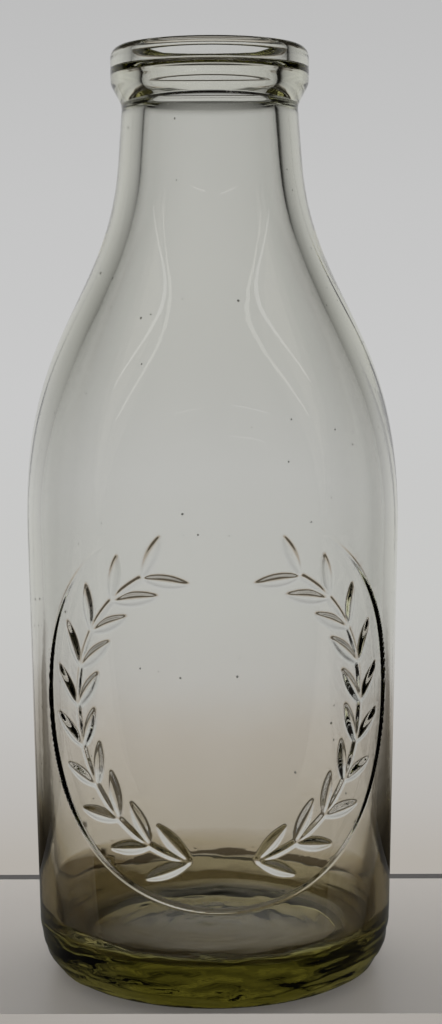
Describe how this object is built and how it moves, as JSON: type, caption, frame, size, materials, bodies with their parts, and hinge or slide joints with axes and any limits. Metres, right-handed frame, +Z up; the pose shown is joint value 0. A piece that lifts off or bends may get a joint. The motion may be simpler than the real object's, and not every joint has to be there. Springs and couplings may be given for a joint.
{
  "type": "glass milk bottle",
  "caption": "Round wide-necked clear glass bottle with a rolled lip, a recessed seat for a card disc, a long sloping shoulder and a raised wreath in a circle on the front.",
  "frame": {"origin": "centre of the base, on the plane that the bottle stands on", "axes": "+Z up along the axis of the bottle, -Y out of the front, which carries the raised circle and wreath"},
  "size_m": [0.1014, 0.1015, 0.25],
  "materials": {
    "bottle_glass": "pressed and blown, glossy, slightly wavy"
  },
  "bodies": {
    "root": {"glass_bottle": "bottle_glass"}
  },
  "joints": []
}
